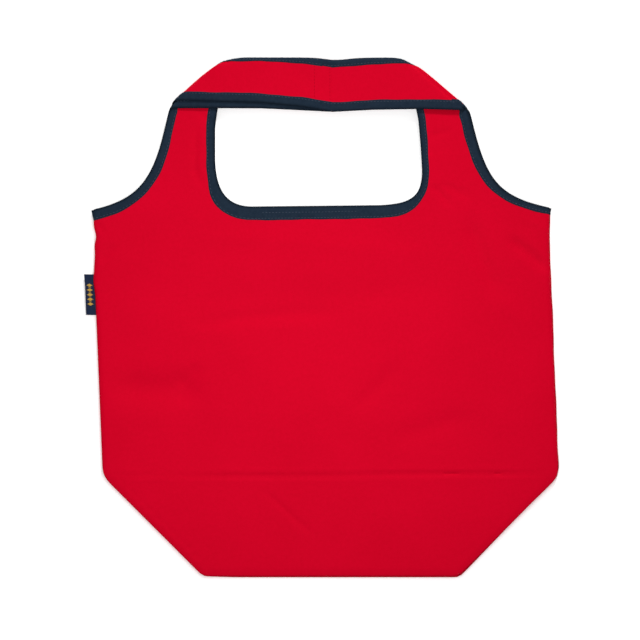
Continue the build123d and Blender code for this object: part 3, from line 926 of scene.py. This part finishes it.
def tape_mesh(name, edge, rows, closed):
    """Folded tape along one edge of a cloth, with its stitching."""
    profile = tape_profile()
    n, m = len(edge.spots), len(profile)
    station = edge.station
    width = edge.width + 0.25 * np.sin(station / 11.0) + 0.15 * np.sin(station / 4.1 + 1)
    reach = np.stack([share * width if scaled else np.full(n, share) for share, _, scaled in profile], 1)
    height = np.tile([h for _, h, _ in profile], (n, 1))
    gathers = 0.045 * np.sin(station / 1.05 + 1.5 * np.sin(station / 5.0))
    puff = gathers[:, None] * (abs(height) > TAPE_TOP * 0.7)
    spots = edge.spots[:, None, :] + edge.inward[:, None, :] * reach[:, :, None]
    flat = spots.reshape(-1, 2)
    verts = edge.cloth.place(flat[:, 0], flat[:, 1], (height + np.sign(height) * puff).ravel())
    across = np.where(height >= 0, 1.0, -1.0) * np.maximum(reach + TAPE_OVER, 0)
    uvs = np.stack([np.repeat(station, m), across.ravel()], 1)
    parts = [(verts, tube_faces(n, m, closed), uvs, 0)]
    parts += [(*part, 1) for row in rows for part in stitches(edge, row)]
    return join_parts(name, parts, [NAVY_TAPE, NAVY_THREAD], sharp=60)


STITCH_PITCH = 3.3
STITCH_LENGTH = 2.3
THREAD_R = 0.27
SIDES = 6  # of a thread's section
EDGE_STITCHES = {"inset": 1.7}  # inset from the tape's inner edge
SECOND_STITCHES = {"inset": 7.4, "from": 0.42, "to": 0.57}  # shares of the mouth tape's length


def thread_faces(count, rings):
    """Faces of separate threads, each a tube of rings closed at both ends."""
    one = tube_faces(rings, SIDES)
    starts = range(0, count * rings * SIDES, rings * SIDES)
    return [tuple(start + i for i in face) for start in starts for face in one]


def stitches(edge, row):
    """Single stitches of one row, on both faces of a tape, each a short arched thread."""
    starts = []
    for begin, end in edge.spans():
        first = begin + row.get("from", 0) * (end - begin) + 1.5
        last = begin + row.get("to", 1) * (end - begin) - 3
        starts.append(np.arange(first, last, STITCH_PITCH))
    starts = np.concatenate(starts)
    along = np.array([0.0, 0.2, 0.5, 0.8, 1.0]) * STITCH_LENGTH
    arch = np.tile([-0.3, 0.02, 0.08, 0.02, -0.3], len(starts))
    thick = np.tile(np.array([0.5, 1.0, 1.0, 1.0, 0.5]) * THREAD_R, len(starts))
    s = (starts[:, None] + along[None, :]).ravel()
    spot, inward, width = edge.at(s)
    ring = np.arange(SIDES) * 2 * math.pi / SIDES
    reach = (width - row["inset"])[:, None] + thick[:, None] * np.cos(ring)
    flat = (spot[:, None, :] + inward[:, None, :] * reach[:, :, None]).reshape(-1, 2)
    uvs = np.stack([np.repeat(s, SIDES), np.tile(ring, len(s))], 1)
    for face_side in (1, -1):
        h = face_side * (TAPE_TOP * 0.92 + arch[:, None] + thick[:, None] * np.sin(ring))
        verts = edge.cloth.place(flat[:, 0], flat[:, 1], h.ravel())
        faces = thread_faces(len(starts), len(along))
        yield verts, [f[::-1] for f in faces] if face_side == 1 else faces, uvs


def thread_tube(path, radius):
    """A round thread along a line of points in space, as vertices, faces and uvs."""
    ahead = directions(path)
    side = np.cross(ahead, [0.13, 0.21, 1.0])
    side /= np.linalg.norm(side, axis=1)[:, None]
    up = np.cross(side, ahead)
    ring = np.arange(SIDES) * 2 * math.pi / SIDES
    thick = np.full(len(path), radius)
    thick[[0, -1]] *= 0.4
    verts = path[:, None, :] + thick[:, None, None] * (
        np.cos(ring)[None, :, None] * side[:, None, :] + np.sin(ring)[None, :, None] * up[:, None, :]
    )
    uvs = np.stack([np.repeat(np.arange(len(path)), SIDES), np.tile(ring, len(path))], 1)
    return verts.reshape(-1, 3), thread_faces(1, len(path)), uvs


# ---------------------------------------------------------------- seams

SEAM_WIDTH = 7.0
SEAM_HALF_THICK = 0.35
OVERLOCK_PITCH = 2.4
OVERLOCK_THREAD = 0.16


def seam_strip(node, line, inward):
    """The allowance of a CAD seam along a line in space, its raw edge closed with overlock thread."""
    line = resample(line, 2.0)
    inward = np.array([*inward, 0.0])
    station = stations(line)
    width = SEAM_WIDTH + 0.3 * np.sin(station / 6.0) + 0.2 * np.sin(station / 2.3)
    section = [(0.0, 1), (0.55, 1), (1.0, 0.9), (1.0, -0.9), (0.55, -1), (0.0, -1)]
    up = np.array([0, 0, SEAM_HALF_THICK])
    rows = [line + inward * (share * width)[:, None] + rise * up for share, rise in section]
    verts = np.stack(rows, 1).reshape(-1, 3)
    n, m = len(line), len(section)
    faces = tube_faces(n, m, turned=True)
    uvs = np.stack([np.repeat(station, m), np.tile([share * SEAM_WIDTH for share, _ in section], n)], 1)
    at = np.arange(1.0, station[-1] - 1.0, OVERLOCK_PITCH / 4)
    phase = np.arange(len(at)) % 4
    reach = np.array([0.55, 1.03, 1.03, 0.55])[phase] * np.interp(at, station, width)
    rise = np.array([1.3, 1.3, -1.3, -1.3])[phase] * (SEAM_HALF_THICK + OVERLOCK_THREAD / 2)
    spine = np.stack([np.interp(at, station, line[:, k]) for k in range(3)], 1)
    thread = thread_tube(spine + inward * reach[:, None] + rise[:, None] * [0, 0, 1], OVERLOCK_THREAD)
    obj = join_parts(f"{node}_allowance", [(verts, faces, uvs, 0), (*thread, 1)], [RED_CLOTH, RED_THREAD])
    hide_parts(node)
    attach(obj, body_of(node))


def build_seams(front, back):
    for word, side in (("left", LEFT), ("right", RIGHT)):
        v = np.linspace(SHOULDER_Y - 14, BOTTOM_FOLD_Y + 1, 60)
        u = np.full_like(v, side * (PATTERN_HALF - 0.4))
        line = (front.surface(u, v) + back.surface(u, v)) / 2
        seam_strip(f"{word}_side_seam", line, (-side, 0))
        node = f"{word}_corner_seam"
        x = span(node, 0)[side == RIGHT]
        line = [(x, GUSSET_Y - 1, SEAM_Z), (x, span(node, 1)[0] + 2, SEAM_Z)]
        seam_strip(node, line, (-side, 0))
        node = f"{word}_gusset_side_seam"
        inner, outer = span(node, 0)[::side]
        line = [(inner, GUSSET_Y, SEAM_Z), (outer - side * 4, GUSSET_Y, SEAM_Z)]
        seam_strip(node, line, (0, 1))
    low, high = span("bottom_seam", 0)
    seam_strip("bottom_seam", [(low + 1, GUSSET_Y, SEAM_Z), (high - 1, GUSSET_Y, SEAM_Z)], (0, 1))


def lap_stitching(cloth):
    """Two rows of stitches that fell the strap ends together in the middle of a handle."""
    parts = []
    for which in (LEFT, RIGHT):
        for a in np.arange(11.0, BAND_WIDTH - 10.0, STITCH_PITCH):
            across = a + np.linspace(0, STITCH_LENGTH, 5)
            length = cloth.band_length(which) + LAP / 2 - 1.6
            spots = np.array([cloth.strap_point(which, one, length) for one in across])
            for face in (1, -1):
                arch = np.array([-0.22, 0.05, 0.1, 0.05, -0.22]) + CLOTH_THICK / 2
                if (face == 1) == (which == LEFT):
                    arch = arch + 2 * LAP_LIFT
                path = cloth.place(spots[:, 0], spots[:, 1], face * arch, LAP_LIFT)
                parts.append((*thread_tube(path, 0.2), 0))
    obj = join_parts(f"{cloth.name}_handle_lap_stitches", parts, [RED_THREAD])
    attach(obj, "handles")
    return obj


# ---------------------------------------------------------------- label

LABEL_PLY = 0.34
LABEL_HALF = 0.42
LABEL_SEWN_IN = 1.2  # hidden in the side seam


def label_section(out):
    """The folded ribbon's section: distance out from the seam, and height."""
    angles = np.linspace(math.pi / 2, -math.pi / 2, 9)
    turn = [out - LABEL_HALF + LABEL_HALF * math.cos(a) for a in angles]
    rise = [LABEL_HALF * math.sin(a) for a in angles]
    inner = LABEL_HALF - LABEL_PLY
    steps = np.linspace(-LABEL_SEWN_IN, out - LABEL_HALF, 9)
    top = [(s, LABEL_HALF) for s in steps[:-1]]
    bottom = [(s, -LABEL_HALF) for s in steps[-2::-1]]
    inside = [(s, -inner) for s in steps]
    inside += [(out - LABEL_HALF + inner, 0)]
    inside += [(s, inner) for s in steps[::-1]]
    return top + list(zip(turn, rise)) + bottom + inside


def build_label(cloth):
    """A woven satin ribbon folded in half and sewn into the left side seam, with a plain stitched motif."""
    y_low, y_high = LABEL_Y[0] + 0.3, LABEL_Y[1] - 0.3
    edge_x = cloth.surface(np.array([-PATTERN_HALF] * 2), np.array([y_low, y_high]))[:, 0]
    out = edge_x.mean() - LABEL_X[0] - 0.2
    section = label_section(out)
    n, m = 42, len(section)
    share = np.linspace(0, 1, n)

    def lay(s, t, h):
        """A point of the label: out from the seam, along it, and above its middle."""
        s, t, h = np.broadcast_arrays(s, t, h)
        free = np.clip(s / out, 0, 1)
        y = y_high - t * (y_high - y_low) * (1 - 0.012 * free) - 0.5 * free * (t - 0.3)
        x = np.interp(y, [y_low, y_high], edge_x) - s + 0.25 * np.sin(t * 5) * free
        z = LABEL_Z + h + free * (0.35 * np.sin(t * 4.2 + 0.6) - 0.25)
        return np.stack([x, y, z], -1)

    s = np.array([q for q, _ in section])
    h = np.array([z for _, z in section])
    verts = lay(s[None, :], share[:, None], h[None, :]).reshape(-1, 3)
    uvs = np.stack([np.repeat(share * 41, m), np.tile(stations(np.stack([s, h], 1)), n)], 1)
    parts = [(verts, tube_faces(n, m, turned=True), uvs, 0)]
    parts += label_motif(lay, out)
    obj = join_parts("woven_label", parts, [LABEL_SATIN, GOLD_THREAD])
    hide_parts("side_label")
    hinge = joint_at("side_label_flex")
    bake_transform(obj)


def label_motif(lay, out):
    """A row of satin-stitched diamonds with a short bar between each two, in gold thread."""
    parts = []
    middle = out * 0.52
    diamonds = np.linspace(0.27, 0.73, 5)
    for t in diamonds:
        for k in range(-3, 4):
            half = 3.3 * (1 - abs(k) / 4)
            s = np.linspace(middle - half, middle + half, 6)
            h = LABEL_HALF + np.sin(np.linspace(0, math.pi, 6)) * 0.16
            parts.append((*thread_tube(lay(s, t + k * 0.0105, h), 0.24), 1))
    for t in (diamonds[1:] + diamonds[:-1]) / 2:
        s = np.linspace(middle - 1.5, middle + 1.5, 5)
        parts.append((*thread_tube(lay(s, t, LABEL_HALF + 0.08), 0.2), 1))
    return parts


# ---------------------------------------------------------------- build


def shoulder_end(line, side):
    """The armhole line with its end carried on past the side seam."""
    ahead = (line[0] - line[1]) / np.linalg.norm(line[0] - line[1])
    return np.vstack([line[0] + ahead * TAPE_END[side], line])


def build_tapes(cloth):
    name = cloth.name
    mouth_edge = Edge(cloth, [cloth.mouth], "mouth")
    mouth = tape_mesh(f"{name}_mouth_tape", mouth_edge, [EDGE_STITCHES, SECOND_STITCHES], closed=True)
    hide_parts(f"{name}_mouth_binding", f"{name}_handle_inner_binding")
    lines = [shoulder_end(cloth.armholes[LEFT], LEFT), shoulder_end(cloth.armholes[RIGHT], RIGHT)[::-1]]
    outer = tape_mesh(f"{name}_outer_tape", Edge(cloth, lines, "outer"), [EDGE_STITCHES], closed=False)
    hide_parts("left_armhole_binding", "right_armhole_binding", f"{name}_handle_outer_binding")
    return [mouth, outer]


def build_face(name):
    cloth = Cloth(name)
    upper, size, area = cloth_mesh(f"{name}_cloth", cloth, cloth.upper_outline(), cloth.upper_rows())
    lower, low_size, low_area = cloth_mesh(
        f"{name}_bottom_cloth", cloth, cloth.lower_outline(), cloth.lower_rows()
    )
    tapes = build_tapes(cloth)
    stitching = lap_stitching(cloth)
    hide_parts(f"{name}_panel", f"{name}_left_strap", f"{name}_right_strap")
    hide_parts(f"{name}_bottom_panel")
    for obj in [upper, *tapes]:
        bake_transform(obj)
    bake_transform(lower)
    return cloth


def build_stage():
    floor_mesh = bpy.data.meshes.new("floor")
    half = 3.0
    corners = [(-half, -half, 0), (half, -half, 0), (half, half, 0), (-half, half, 0)]
    floor_mesh.from_pydata(corners, [], [(0, 1, 2, 3)])
    floor = bpy.data.objects.new("floor", floor_mesh)
    floor.location.z = -0.3 * MM
    bpy.context.scene.collection.objects.link(floor)
    shader = Shader("pale_floor")
    shader.feed(shader.inputs, {
        "Base Color": (0.98, 0.98, 0.98, 1),
        "Roughness": 0.9,
        "Specular IOR Level": 0.1,
        "Emission Color": (1, 1, 1, 1),
        "Emission Strength": 0.3,
    })
    floor_mesh.materials.append(shader.material)


def area_light(name, place, target, size, power):
    data = bpy.data.lights.new(name, "AREA")
    data.shape, data.size, data.energy = "DISK", size, power
    obj = bpy.data.objects.new(name, data)
    obj.location = place
    obj.rotation_mode = "QUATERNION"
    obj.rotation_quaternion = (Vector(target) - Vector(place)).to_track_quat("-Z", "Y")
    bpy.context.scene.collection.objects.link(obj)


def build_lights():
    scene = bpy.context.scene
    scene.world = bpy.data.worlds.new("studio")
    scene.world.use_nodes = True
    sky = scene.world.node_tree.nodes["Background"].inputs
    sky["Color"].default_value = (1, 1, 1, 1)
    sky["Strength"].default_value = 0.39
    area_light("key", (-0.03, -0.03, 0.55), (-0.03, -0.03, 0), size=0.4, power=1.9)
    area_light("rake", (0.35, 1.6, 1.05), (0, 0.05, 0), size=0.35, power=22)
    scene.view_settings.view_transform = "Standard"


VIEW_CENTRE = (-1.5, -3.5)
VIEW_WIDTH = 0.64
LENS = 120.0
SENSOR = 36.0


def build_camera():
    data = bpy.data.cameras.new("camera")
    data.lens, data.sensor_width = LENS, SENSOR
    camera = bpy.data.objects.new("camera", data)
    camera.location = (VIEW_CENTRE[0] * MM, VIEW_CENTRE[1] * MM, VIEW_WIDTH * LENS / SENSOR + FRONT_Z * MM)
    bpy.context.scene.collection.objects.link(camera)
    bpy.context.scene.camera = camera


front, back = build_face("front"), build_face("back")
build_seams(front, back)
build_label(front)
build_stage()
build_lights()
build_camera()
